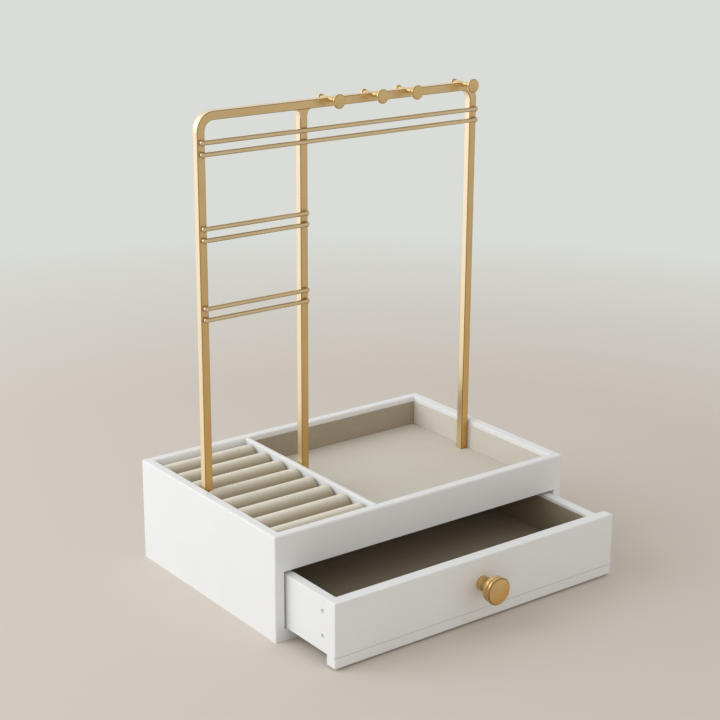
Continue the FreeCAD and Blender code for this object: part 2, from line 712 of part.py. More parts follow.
doc.recompute()
failed = [item.Name for item in doc.Objects if {"Invalid", "Error"} & set(item.State)]
if failed:
    raise RuntimeError(f"failed objects: {failed}")
bodies = [item for item in doc.Objects if item.TypeId == "PartDesign::Body"]
for body in bodies:
    if body.Shape.isNull() or not body.Shape.isValid():
        raise RuntimeError(f"bad shape: {body.Label}")
os.makedirs("parts", exist_ok=True)
for body in bodies:
    body.Shape.exportStep(f"parts/{body.Label}.step")
    bounds = body.Shape.BoundBox
    print(
        f"{body.Label:24s} solids {len(body.Shape.Solids)} volume {body.Shape.Volume:10.1f}"
        f"  x {bounds.XMin:8.2f} {bounds.XMax:8.2f}  y {bounds.YMin:8.2f} {bounds.YMax:8.2f}"
        f"  z {bounds.ZMin:7.2f} {bounds.ZMax:7.2f}"
    )
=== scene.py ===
import math

import bmesh
import bpy
from mathutils import Matrix, Vector


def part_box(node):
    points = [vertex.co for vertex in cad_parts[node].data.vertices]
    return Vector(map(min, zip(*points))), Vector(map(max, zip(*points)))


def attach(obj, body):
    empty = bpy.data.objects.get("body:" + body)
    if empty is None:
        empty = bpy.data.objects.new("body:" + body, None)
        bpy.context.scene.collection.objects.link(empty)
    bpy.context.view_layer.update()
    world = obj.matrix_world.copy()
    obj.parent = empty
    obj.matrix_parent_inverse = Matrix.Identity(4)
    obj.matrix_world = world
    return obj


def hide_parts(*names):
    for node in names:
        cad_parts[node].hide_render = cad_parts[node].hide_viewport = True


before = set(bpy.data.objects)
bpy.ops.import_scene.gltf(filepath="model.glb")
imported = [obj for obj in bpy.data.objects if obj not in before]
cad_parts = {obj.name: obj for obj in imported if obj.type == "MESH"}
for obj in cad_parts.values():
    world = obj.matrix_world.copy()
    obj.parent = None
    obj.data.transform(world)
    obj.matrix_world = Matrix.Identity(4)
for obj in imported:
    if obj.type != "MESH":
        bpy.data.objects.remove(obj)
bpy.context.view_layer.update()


# Case
# Fibreboard sides, back, bottom and front rail, glued into one box, filled at the joints
# and sprayed satin white, so that no seam shows. The front is open for the drawer.

# Sizes are in millimetres and meshes in metres, here and in every section below.
CASE_LOW, CASE_HIGH = (-140, -95, 0), (140, 95, 84)
CASE_WALL = 8
BAY_SIDE, BAY_FLOOR, BAY_TOP = 132, 9.5, 55
RIM_ROUND, ARRIS_ROUND = 1.5, 0.5
EASED_UP_TO, SHORTEST_EASED = 60, 7
JOINT_MERGE = 0.01
SORTED_FROM = (0.71, -0.53, 0.37)


def clear_bench():
    """Back to object mode with nothing selected."""
    if bpy.context.object and bpy.context.object.mode != "OBJECT":
        bpy.ops.object.mode_set(mode="OBJECT")
    bpy.ops.object.select_all(action="DESELECT")


def cut_board(name, low, high):
    """A board cut to size, from its lowest to its highest corner in millimetres."""
    clear_bench()
    middle = [(a + b) / 2000 for a, b in zip(low, high)]
    size = [(b - a) / 1000 for a, b in zip(low, high)]
    bpy.ops.mesh.primitive_cube_add(size=1, location=middle, scale=size)
    bpy.ops.object.transform_apply(location=True, rotation=True, scale=True)
    piece = bpy.context.active_object
    piece.name = piece.data.name = name
    return piece


def take_up(piece):
    """Puts this piece alone on the bench."""
    clear_bench()
    bpy.context.view_layer.objects.active = piece
    piece.select_set(True)


def mark(piece, kind, wanted):
    """In edit mode, selects the faces, edges or points whose middle, in millimetres, is wanted."""
    if piece.mode != "EDIT":
        take_up(piece)
        bpy.ops.object.mode_set(mode="EDIT")
    bpy.ops.mesh.select_mode(type=kind)
    bpy.ops.mesh.select_all(action="DESELECT")
    mesh = bmesh.from_edit_mesh(piece.data)
    for item in {"VERT": mesh.verts, "EDGE": mesh.edges, "FACE": mesh.faces}[kind]:
        points = [item] if kind == "VERT" else item.verts
        middle = sum((point.co for point in points), Vector()) / len(points) * 1000
        item.select_set(bool(wanted(middle, item)))
    bmesh.update_edit_mesh(piece.data)


def saw(piece, axis, *places):
    """Scores the whole piece across one axis at each place, without parting it."""
    way = [float(axis == other) for other in "xyz"]
    for place in places:
        mark(piece, "FACE", lambda at, item: True)
        bpy.ops.mesh.bisect(plane_co=[part * place / 1000 for part in way], plane_no=way)


def tidy_faces(piece):
    """Trues the corners up to a micron, and joins the flat faces that the saw parted.

    They are sorted first, by their distance from one odd point, so that the result is always the same.
    """
    mark(piece, "FACE", lambda at, item: True)
    mesh = bmesh.from_edit_mesh(piece.data)
    for point in mesh.verts:
        point.co = [round(part, 6) for part in point.co]
    mesh.normal_update()
    bmesh.update_edit_mesh(piece.data)
    bpy.context.scene.cursor.location = SORTED_FROM
    bpy.ops.mesh.sort_elements(type="CURSOR_DISTANCE", elements={"VERT", "EDGE", "FACE"})
    bpy.context.scene.cursor.location = (0, 0, 0)
    bpy.ops.mesh.dissolve_limited(angle_limit=math.radians(1))


def pull_out(x=0, y=0, z=0):
    """Draws the marked faces out by so many millimetres."""
    bpy.ops.mesh.extrude_region_move(TRANSFORM_OT_translate={"value": (x / 1000, y / 1000, z / 1000)})


def sharp_outside(edge):
    """Whether an edge is an arris: it stands out, and its faces meet at more than 60 degrees."""
    return len(edge.link_faces) == 2 and edge.is_convex and edge.calc_face_angle() > math.radians(60)


def longer_than(edge, least):
    """Whether an edge is longer than so many millimetres."""
    return edge.calc_length() * 1000 > least


def round_over(piece, radius, wanted, steps=4):
    """Rounds the outside edges that are wanted, and merges the points that meet at the corners."""
    mark(piece, "EDGE", lambda at, edge: sharp_outside(edge) and wanted(at, edge))
    bpy.ops.mesh.bevel(
        offset=radius / 1000, offset_type="OFFSET", segments=steps, profile=0.5,
        affect="EDGES", clamp_overlap=False,
    )
    bpy.ops.mesh.select_all(action="SELECT")
    bpy.ops.mesh.remove_doubles(threshold=JOINT_MERGE / 1000)


def shade(piece, angle=40):
    """Smooth over the roundings, flat on the boards."""
    take_up(piece)
    bpy.ops.object.shade_smooth_by_angle(angle=math.radians(angle))
    even = piece.modifiers.new("even_faces", "WEIGHTED_NORMAL")
    even.keep_sharp = True
    bpy.ops.object.modifier_apply(modifier=even.name)


def add_node(tree, kind, settings=None, **joined):
    """A node with its settings; each input, by name or as in0, in1, is a value or a node's output."""
    made = tree.nodes.new(f"ShaderNode{kind}")
    for name, value in (settings or {}).items():
        setattr(made, name, value)
    for name, value in joined.items():
        socket = made.inputs[int(name[2:]) if name.startswith("in") else name.replace("_", " ")]
        if isinstance(value, bpy.types.NodeSocket):
            tree.links.new(value, socket)
        else:
            socket.default_value = value
    return made


def blend_colours(tree, amount, first, second):
    """The first colour turning into the second as the amount goes from 0 to 1."""
    made = tree.nodes.new("ShaderNodeMix")
    made.data_type = "RGBA"
    for socket, value in zip((made.inputs[0], made.inputs[6], made.inputs[7]), (amount, first, second)):
        if isinstance(value, bpy.types.NodeSocket):
            tree.links.new(value, socket)
        else:
            socket.default_value = value if isinstance(value, float) else (*value, 1)
    return made.outputs[2]


def new_finish(name, **surface):
    """A finish, its node tree and its shader, with the plain values set on the shader."""
    finish = bpy.data.materials.new(name)
    finish.use_nodes = True
    shader = finish.node_tree.nodes["Principled BSDF"]
    for socket, value in surface.items():
        shader.inputs[socket.replace("_", " ")].default_value = value
    return finish, finish.node_tree, shader


def spread(tree, value, low, high, new_low, new_high):
    """The value, moved from between low and high to between the new ones and held there."""
    return add_node(
        tree, "MapRange", Value=value, From_Min=low, From_Max=high, To_Min=new_low, To_Max=new_high
    ).outputs[0]


def satin_paint(name, face, shadowed, worn):
    """Sprayed satin paint: fine orange peel, a slow drift of tone, and thinner paint on the edges."""
    finish, tree, shader = new_finish(name, Specular_IOR_Level=0.4)
    place = add_node(tree, "TexCoord")
    drift = add_node(tree, "TexNoise", Vector=place.outputs["Object"], Scale=16.0, Detail=3.0)
    speck = add_node(tree, "TexNoise", Vector=place.outputs["Object"], Scale=420.0, Detail=4.0)
    tone = add_node(
        tree, "Math", {"operation": "ADD"},
        in0=spread(tree, drift.outputs["Fac"], 0.35, 0.65, 0.0, 0.7),
        in1=spread(tree, speck.outputs["Fac"], 0.4, 0.6, 0.0, 0.3),
    )
    painted = blend_colours(tree, tone.outputs[0], face, shadowed)
    square_on = add_node(tree, "VectorMath", {"operation": "ABSOLUTE"}, in0=place.outputs["Normal"])
    parts = add_node(tree, "SeparateXYZ", in0=square_on.outputs[0])
    wider = add_node(tree, "Math", {"operation": "MAXIMUM"}, in0=parts.outputs[0], in1=parts.outputs[1])
    widest = add_node(tree, "Math", {"operation": "MAXIMUM"}, in0=wider.outputs[0], in1=parts.outputs[2])
    arris = spread(tree, widest.outputs[0], 0.8, 0.99, 1.0, 0.0)
    rubbed = add_node(
        tree, "Math", {"operation": "MULTIPLY"}, in0=arris,
        in1=spread(tree, speck.outputs["Fac"], 0.45, 0.7, 0.15, 1.0),
    )
    tree.links.new(blend_colours(tree, rubbed.outputs[0], painted, worn), shader.inputs["Base Color"])
    tree.links.new(spread(tree, drift.outputs["Fac"], 0.3, 0.7, 0.38, 0.48), shader.inputs["Roughness"])
    peel = add_node(tree, "TexNoise", Vector=place.outputs["Object"], Scale=850.0, Detail=2.0)
    relief = add_node(tree, "Bump", Strength=0.12, Distance=0.0002, Height=peel.outputs["Fac"])
    tree.links.new(relief.outputs[0], shader.inputs["Normal"])
    return finish


white_paint = satin_paint(
    "sprayed_white", face=(0.86, 0.862, 0.86), shadowed=(0.835, 0.835, 0.83), worn=(0.80, 0.79, 0.77)
)

case = cut_board("case_shell", CASE_LOW, CASE_HIGH)
mark(case, "FACE", lambda at, item: at.z > CASE_HIGH[2] - 1)
bpy.ops.mesh.inset(thickness=CASE_WALL / 1000)
pull_out(z=BAY_FLOOR - CASE_HIGH[2])
saw(case, "z", BAY_TOP, BAY_FLOOR)
saw(case, "x", -BAY_SIDE, BAY_SIDE)


def bay_mouth(at, face):
    """The front board, outside and in, where the drawer goes through it."""
    in_front = at.y < CASE_LOW[1] + CASE_WALL + 1
    return in_front and abs(at.x) < BAY_SIDE - 1 and BAY_FLOOR + 1 < at.z < BAY_TOP - 1


def case_rim(at, edge):
    """The outer corners and the whole rim, outside and in."""
    return at.z > CASE_HIGH[2] - 0.1 or abs(at.x) > CASE_HIGH[0] - 1 and abs(at.y) > CASE_HIGH[1] - 1


mark(case, "FACE", bay_mouth)
bpy.ops.mesh.bridge_edge_loops()
tidy_faces(case)
round_over(case, RIM_ROUND, case_rim)
round_over(
    case, ARRIS_ROUND,
    lambda at, edge: longer_than(edge, SHORTEST_EASED) and at.z < EASED_UP_TO, steps=2,
)
shade(case)
case.data.materials.append(white_paint)
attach(case, "case")
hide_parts("case_side_left", "case_side_right", "case_front_rail", "case_back", "case_bottom")


# Tray floor and divider
# A thin bare board lies on ledges inside the case, over the drawer. A narrow white strip
# stands on it and parts the ring rolls from the open tray; its ends are let into the case.

DIVIDER_LOW, DIVIDER_HIGH = (-46.2, -88.5, 58), (-42.2, 88.5, 83.5)
DIVIDER_ROUND = 1.0


def pressed_board(name, light, dark):
    """Bare pressed board: short fibres lying every way, and a few dark specks."""
    finish, tree, shader = new_finish(name, Roughness=0.85)
    place = add_node(tree, "TexCoord").outputs["Object"]
    fibres = add_node(tree, "TexNoise", Vector=place, Scale=600.0, Detail=6.0, Roughness=0.7, Distortion=1.5)
    clouds = add_node(tree, "TexNoise", Vector=place, Scale=40.0, Detail=3.0)
    specks = add_node(tree, "TexVoronoi", Vector=place, Scale=260.0)
    pale = blend_colours(tree, spread(tree, fibres.outputs["Fac"], 0.35, 0.65, 0.0, 1.0), light, dark)
    clouded = spread(tree, clouds.outputs["Fac"], 0.4, 0.7, 0.0, 0.35)
    cloudy = blend_colours(tree, clouded, pale, [part * 0.8 for part in light])
    specked = spread(tree, specks.outputs["Distance"], 0.05, 0.12, 0.6, 0.0)
    spotted = blend_colours(tree, specked, cloudy, [part * 0.55 for part in dark])
    tree.links.new(spotted, shader.inputs["Base Color"])
    relief = add_node(tree, "Bump", Strength=0.3, Distance=0.0003, Height=fibres.outputs["Fac"])
    tree.links.new(relief.outputs[0], shader.inputs["Normal"])
    return finish


def finish_node(name, finish):
    """Gives a part as it was made its surface, in every material slot."""
    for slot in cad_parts[name].material_slots:
        slot.material = finish


bare_board = pressed_board("bare_board", light=(0.56, 0.42, 0.27), dark=(0.45, 0.32, 0.19))
finish_node("tray_floor_board", bare_board)

divider = cut_board("tray_divider_strip", DIVIDER_LOW, DIVIDER_HIGH)
round_over(
    divider, DIVIDER_ROUND,
    lambda at, edge: at.z > DIVIDER_HIGH[2] - 0.5 and abs(at.y) < DIVIDER_HIGH[1] - 1,
)
shade(divider)
divider.data.materials.append(white_paint)
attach(divider, "case")
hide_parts("tray_divider")


# Tray linings
# Thin cards covered in greige velvet, one on the floor and one on each wall, glued in with
# their edges butted. They stop a little below the rim, so a white band shows. The back
# card has a darker copy of the velvet, painted shade for the shadow it stands in.

CARD_ROUND, SHORTEST_ROLLED = 0.4, 0.7
POST_CUTS = ((-41.2, -34.5), (124.5, 131.2))
POST_CUT_FRONT, POST_CUT_BACK = 12.4, 19.1
CUT_UNDER, CUT_OVER = 50, 70

# The velvet's cut sizes, in metres, before it is glued on.
LONG_WALL_CLOTH, SHORT_WALL_CLOTH = (0.1742, 0.0209), (0.1724, 0.0209)


def velvet(name, pile, shaded, nap=(1.0, 1.0, 1.0), sheen=0.35, edge=0.4, depth=0.35):
    """Short-pile velvet: fine tufts, brushed patches that turn the pile, and a soft sheen."""
    finish, tree, shader = new_finish(
        name, Roughness=0.92, Specular_IOR_Level=0.15, Sheen_Weight=sheen, Sheen_Roughness=edge,
        Sheen_Tint=(1.0, 0.97, 0.92, 1.0),
    )
    place = add_node(tree, "TexCoord").outputs["Object"]
    along = add_node(tree, "Mapping", Vector=place, Scale=nap).outputs[0]
    tufts = add_node(tree, "TexNoise", Vector=along, Scale=1700.0, Detail=3.0, Roughness=0.6)
    strokes = add_node(tree, "TexNoise", Vector=along, Scale=620.0, Detail=3.0, Roughness=0.6)
    patches = add_node(tree, "TexNoise", Vector=place, Scale=30.0, Detail=2.0, Distortion=0.4)
    pile_tone = add_node(
        tree, "Math", {"operation": "ADD"},
        in0=spread(tree, tufts.outputs["Fac"], 0.3, 0.7, 0.0, 0.6),
        in1=spread(tree, strokes.outputs["Fac"], 0.3, 0.7, 0.0, 0.4),
    )
    brushed = blend_colours(tree, pile_tone.outputs[0], shaded, pile)
    turning = spread(tree, patches.outputs["Fac"], 0.35, 0.7, 0.0, 0.2)
    turned = blend_colours(tree, turning, brushed, [part * 0.85 for part in pile])
    tree.links.new(turned, shader.inputs["Base Color"])
    fuzz = add_node(tree, "Bump", Strength=depth, Distance=0.0004, Height=pile_tone.outputs[0])
    sway = add_node(
        tree, "Bump", Strength=0.12, Distance=0.002, Height=patches.outputs["Fac"], Normal=fuzz.outputs[0]
    )
    tree.links.new(sway.outputs[0], shader.inputs["Normal"])
    return finish


def cut_away(piece, cutter):
    """Cuts the shape of another piece out of this one, and takes that one off the bench."""
    take_up(piece)
    cut = piece.modifiers.new("cut", "BOOLEAN")
    cut.operation, cut.solver, cut.object = "DIFFERENCE", "EXACT", cutter
    bpy.ops.object.modifier_apply(modifier=cut.name)
    bpy.data.objects.remove(cutter)


def velvet_card(name, node, finish, body="case", cuts=(), grow=None):
    """A velvet-covered card in the place of a plain one, its edges rolled over.

    It can have cuts, each a lowest and a highest corner, and along an axis, counted from 0,
    it can grow down and up by so many millimetres.
    """
    low, high = (corner * 1000 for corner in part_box(node))
    for axis, (down, up) in (grow or {}).items():
        low[axis], high[axis] = low[axis] - down, high[axis] + up
    card = cut_board(name, low, high)
    for number, (cut_low, cut_high) in enumerate(cuts):
        cut_away(card, cut_board(f"{name}_cut_{number}", cut_low, cut_high))
    round_over(card, CARD_ROUND, lambda at, edge: longer_than(edge, SHORTEST_ROLLED), steps=3)
    shade(card)
    card.data.materials.append(finish)
    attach(card, body)
    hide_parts(node)


greige_velvet = velvet(
    "greige_velvet", pile=(0.745, 0.695, 0.615), shaded=(0.635, 0.588, 0.515), sheen=0.08
)
# Painted shade: the back card gets a darker copy of the greige velvet.
shaded_back_velvet = velvet(
    "greige_velvet_nap_down", pile=(0.455, 0.385, 0.295), shaded=(0.39, 0.33, 0.25), sheen=0.08
)
post_holes = [
    ((left, POST_CUT_FRONT, CUT_UNDER), (right, POST_CUT_BACK, CUT_OVER)) for left, right in POST_CUTS
]
velvet_card(
    "tray_floor_velvet", "tray_floor_lining", greige_velvet,
    cuts=post_holes,
)
for wall, finish, cloth, backing in (
    ("front", greige_velvet, LONG_WALL_CLOTH, case),
    ("back", shaded_back_velvet, LONG_WALL_CLOTH, case),
    ("divider", greige_velvet, SHORT_WALL_CLOTH, divider),
    ("right", greige_velvet, SHORT_WALL_CLOTH, case),
):
    velvet_card(f"tray_{wall}_velvet", f"tray_lining_{wall}", finish)


# Ring rolls
# Eight foam rods in light greige velvet sleeves lie side by side on a thin pad; rings
# stand in the slots between them. The fourth roll gives way round the frame's left post.

ROLLS = 8
ROLL_LEFT, ROLL_RIGHT = -131.7, -46.5
ROLL_RADIUS, ROLL_HEIGHT = 10.6, 71.9
ROLL_PITCH, ROLL_BACK = 21.75, 87
ROLL_END_ROUND, SLEEVE_MESH = 2.4, 1.4
STUFFING_ROOM, STUFFING_PRESS, STUFFING_MOST, STUFFING_STEPS = 0.7, 4, 0.6, 20
ROLL_TURN = 1.3
PAD_LOW, PAD_HIGH = (-132, -87, 58), (-46.2, 87, 61)
PAD_DENT, PAD_STRIPS = 0.5, 6
POST_ROLL, POST_RIGHT, POST_MIDDLE, POST_HALF = 4, -124.3, 15.75, 3.55
NOTCH_ROOM, NOTCH_SLOPE = 0.3, 1.2
ROLL_LIGHT_WAY, ROLL_LIGHT_FALL = (0.0, 0.34, 0.94), 2.4
SLOT_SHADE = (0.385, 0.325, 0.225)

# The pile is set near white, so that the crowns carry a painted highlight.
roll_velvet = velvet(
    "roll_velvet", pile=(0.98, 0.925, 0.805), shaded=(0.785, 0.73, 0.625),
    nap=(1.0, 0.25, 0.25), sheen=0.5, edge=0.2, depth=0.2,
)


def paint_roll_light(finish, nap, fall, dark):
    """Painted light and shade: light on each crown, which faces up and back, painted shade down the front
    and in the slots.
    """
    tree = finish.node_tree
    shader = tree.nodes["Principled BSDF"]
    pile = shader.inputs["Base Color"].links[0].from_socket
    facing = add_node(tree, "TexCoord").outputs["Normal"]
    along = add_node(tree, "VectorMath", {"operation": "DOT_PRODUCT"}, in0=facing, in1=nap)
    towards_light = spread(tree, along.outputs["Value"], 0.0, 1.0, 0.0, 1.0)
    light = add_node(tree, "Math", {"operation": "POWER"}, in0=towards_light, in1=fall).outputs[0]
    tree.links.new(blend_colours(tree, light, dark, pile), shader.inputs["Base Color"])


# Painted light and shade on the rolls and the pad: light crowns, dark fronts and slots.
paint_roll_light(roll_velvet, ROLL_LIGHT_WAY, ROLL_LIGHT_FALL, SLOT_SHADE)


def roll_middle(number):
    """How far back a roll's middle lies, counted from the back."""
    return ROLL_BACK - ROLL_PITCH * (number - 0.5)


pad = cut_board("ring_pad_velvet", PAD_LOW, PAD_HIGH)
pad_cut = cut_board(
    "pad_cut", (CASE_LOW[0], POST_MIDDLE - POST_HALF, CUT_UNDER),
    (POST_RIGHT, POST_MIDDLE + POST_HALF, CUT_OVER),
)
cut_away(pad, pad_cut)
saw(pad, "y", *[ROLL_BACK - ROLL_PITCH * step / PAD_STRIPS for step in range(1, ROLLS * PAD_STRIPS)])
mark(pad, "VERT", lambda at, item: False)
mesh = bmesh.from_edit_mesh(pad.data)
for point in mesh.verts:
    if point.co.z * 1000 > PAD_HIGH[2] - 0.5:
        swing = math.cos(2 * math.pi * (point.co.y * 1000 - roll_middle(1)) / ROLL_PITCH)
        point.co.z -= PAD_DENT / 1000 * (0.5 + 0.5 * swing)
bmesh.update_edit_mesh(pad.data)
shade(pad, angle=60)
pad.data.materials.append(roll_velvet)
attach(pad, "case")
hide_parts("ring_base_pad")


def end_rim(at, edge):
    """Where a flat end meets the round side."""
    return edge.calc_face_angle(0) > math.radians(60)


clear_bench()
bpy.ops.mesh.primitive_cylinder_add(
    vertices=48, radius=(ROLL_RADIUS - STUFFING_ROOM) / 1000,
    depth=(ROLL_RIGHT - ROLL_LEFT - 2 * STUFFING_ROOM) / 1000,
    location=((ROLL_LEFT + ROLL_RIGHT) / 2000, roll_middle(1) / 1000, ROLL_HEIGHT / 1000),
    rotation=(0, math.pi / 2, 0),
)
first_roll = bpy.context.active_object
first_roll.name = first_roll.data.name = "ring_roll_velvet_1"
bpy.ops.object.transform_apply(location=True, rotation=True, scale=True)
mark(first_roll, "EDGE", end_rim)
bpy.ops.mesh.bevel(offset=ROLL_END_ROUND / 1000, segments=4, profile=0.5, affect="EDGES")
take_up(first_roll)
weave = first_roll.modifiers.new("sleeve", "REMESH")
weave.mode, weave.voxel_size = "VOXEL", SLEEVE_MESH / 1000
bpy.ops.object.modifier_apply(modifier=weave.name)
slack = [point.co.copy() for point in first_roll.data.vertices]
stuffed = first_roll.modifiers.new("stuffing", "CLOTH")
stuffed.settings.use_pressure = True
stuffed.settings.uniform_pressure_force = STUFFING_PRESS
stuffed.settings.effector_weights.gravity = 0
for step in range(1, STUFFING_STEPS + 1):
    bpy.context.scene.frame_set(step)
bpy.ops.object.modifier_apply(modifier=stuffed.name)
bpy.context.scene.frame_set(1)
for point, was in zip(first_roll.data.vertices, slack):
    moved = point.co - was
    point.co = was + moved * min(1, STUFFING_MOST / 1000 / max(moved.length, 1e-9))
fine = first_roll.modifiers.new("fine", "SUBSURF")
fine.levels = fine.render_levels = 1
bpy.ops.object.modifier_apply(modifier=fine.name)
bpy.ops.object.shade_smooth()
first_roll.data.materials.append(roll_velvet)

rolls = [first_roll]
for number in range(2, ROLLS + 1):
    take_up(first_roll)
    bpy.ops.object.duplicate(linked=False)
    roll = bpy.context.active_object
    roll.name = roll.data.name = f"ring_roll_velvet_{number}"
    axis = (0, roll_middle(1) / 1000, ROLL_HEIGHT / 1000)
    bpy.ops.transform.rotate(value=number * ROLL_TURN, orient_axis="X", center_override=axis)
    bpy.ops.transform.translate(value=(0, (roll_middle(number) - roll_middle(1)) / 1000, 0))
    bpy.ops.object.transform_apply(location=True, rotation=True, scale=True)
    rolls.append(roll)

for point in rolls[POST_ROLL - 1].data.vertices:
    beside = abs(point.co.y * 1000 - POST_MIDDLE) - POST_HALF
    push = min(1, max(0, 1 - beside / NOTCH_SLOPE))
    wall = ROLL_LEFT + (POST_RIGHT + NOTCH_ROOM - ROLL_LEFT) * push
    point.co.x = max(point.co.x, wall / 1000)

for number, roll in enumerate(rolls, 1):
    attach(roll, "case")
    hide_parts(f"ring_roll_{number}")


# Frame
# One square brass bar bent to a hoop, a middle post welded under it, and six thin rods
# with ball ends welded across the front of the posts. Brushed along the bar, satin gold.

HOOP_TURN, HOOP_SEAM = 364, 1
FOOT_HIGH, FOOT_LOW = 370, 85
HIGHLIGHT_FROM, HIGHLIGHT_TO = 80, 250
RODS = ("upper_1", "upper_2", "middle_1", "middle_2", "lower_1", "lower_2")
HIGHLIGHT_WAY = (-0.85, 0.0, 0.5)
FOOT_REFLECTION_GOLD, DARK_REFLECTION_GOLD = (0.70, 0.43, 0.145), (0.30, 0.18, 0.07)
HIGHLIGHT_LOW_GOLD, HIGHLIGHT_HIGH_GOLD = (0.93, 0.735, 0.435), (0.93, 0.80, 0.60)
BAR_EDGE, ROD_EDGE = (0.998, 0.97, 1.0), (0.95, 0.6, 0.7)


def painted_dark_edge(tree, tone, front, edge):
    """The tone with a painted dark reflection, darker where the surface turns from its front to its sides.

    The front value is 1 where the surface is square on. The edge says where the darkness
    starts, where it is full, and how strong it is then.
    """
    starts, full, most = edge
    turning = add_node(
        tree, "Math", {"operation": "MINIMUM"},
        in0=spread(tree, front, starts, full, 0.0, most), in1=spread(tree, front, 0.03, 0.2, 0.0, most),
    )
    return blend_colours(tree, turning.outputs[0], tone, DARK_REFLECTION_GOLD)


def satin_gold(name, gold, deep, along_x, roughness=0.34):
    """Brushed satin gold: fine scratches along the bar, and a painted highlight, pale on the sides that face
    the lamp.

    A rod lies along X. On a bar, the scratches turn with it at the hoop's corners, and towards the
    foot the gold is painted deeper and warmer: painted reflection of the velvet tray, and painted shade.
    """
    finish, tree, shader = new_finish(name, Metallic=1.0)
    coordinates = add_node(tree, "TexCoord").outputs
    place, facing = coordinates["Object"], coordinates["Normal"]
    height = add_node(tree, "SeparateXYZ", in0=place).outputs[2]
    level = add_node(tree, "Mapping", Vector=place, Scale=(0.03, 1.0, 1.0)).outputs[0]
    lying = add_node(tree, "TexNoise", Vector=level, Scale=2600.0, Detail=3.0, Roughness=0.6)
    grain = lying.outputs["Fac"]
    if not along_x:
        upright = add_node(tree, "Mapping", Vector=place, Scale=(1.0, 1.0, 0.03)).outputs[0]
        standing = add_node(tree, "TexNoise", Vector=upright, Scale=2600.0, Detail=3.0, Roughness=0.6)
        turn = spread(tree, height, (HOOP_TURN - HOOP_SEAM) / 1000, (HOOP_TURN + HOOP_SEAM) / 1000, 0.0, 1.0)
        grain = add_node(tree, "Mix", in0=turn, in2=standing.outputs["Fac"], in3=grain).outputs[0]
    drift = add_node(tree, "TexNoise", Vector=place, Scale=45.0, Detail=3.0)
    tone = add_node(
        tree, "Math", {"operation": "ADD"},
        in0=spread(tree, drift.outputs["Fac"], 0.3, 0.7, 0.0, 0.6),
        in1=spread(tree, grain, 0.3, 0.7, 0.0, 0.4),
    )
    brushed = blend_colours(tree, tone.outputs[0], gold, deep)
    if not along_x:
        # Painted reflection and shade: the gold turns deeper and warmer towards the foot.
        foot_reflection = spread(tree, height, FOOT_HIGH / 1000, FOOT_LOW / 1000, 0.05, 0.95)
        brushed = blend_colours(tree, foot_reflection, brushed, FOOT_REFLECTION_GOLD)
    # Painted highlight: the sides that face the lamp turn pale, paler higher up.
    painted_highlight = add_node(tree, "VectorMath", {"operation": "DOT_PRODUCT"}, in0=facing, in1=HIGHLIGHT_WAY)
    painted_highlight = spread(tree, painted_highlight.outputs["Value"], 0.1, 0.9, 0.0, 0.88)
    rise = spread(tree, height, HIGHLIGHT_FROM / 1000, HIGHLIGHT_TO / 1000, 0.0, 1.0)
    lit = blend_colours(tree, painted_highlight, brushed, blend_colours(tree, rise, HIGHLIGHT_LOW_GOLD, HIGHLIGHT_HIGH_GOLD))
    front = add_node(tree, "VectorMath", {"operation": "ABSOLUTE"}, in0=facing).outputs[0]
    front = add_node(tree, "SeparateXYZ", in0=front).outputs[1]
    # Painted dark reflection along the edges of the bars and rods.
    edged = painted_dark_edge(tree, lit, front, ROD_EDGE if along_x else BAR_EDGE)
    tree.links.new(edged, shader.inputs["Base Color"])
    scratched = spread(tree, grain, 0.3, 0.7, roughness - 0.05, roughness + 0.08)
    tree.links.new(scratched, shader.inputs["Roughness"])
    scratches = add_node(tree, "Bump", Strength=0.25, Distance=0.0001, Height=grain)
    tree.links.new(scratches.outputs[0], shader.inputs["Normal"])
    return finish


bar_gold = satin_gold("bar_gold", (0.825, 0.625, 0.34), (0.745, 0.545, 0.275), along_x=False)
rod_gold = satin_gold("rod_gold", (0.84, 0.69, 0.42), (0.76, 0.60, 0.34), along_x=True)
finish_node("frame_hoop", bar_gold)
finish_node("middle_post", bar_gold)
for rod in RODS:
    finish_node(f"rod_{rod}", rod_gold)


# Pegs
# Four turned brass pegs pass through the top bar: a flared head with a flat front for a
# necklace to hang behind, and a small button at the back that holds the peg in place.

PEGS = 4
TURNED_EDGE = (0.98, 0.8, 0.7)


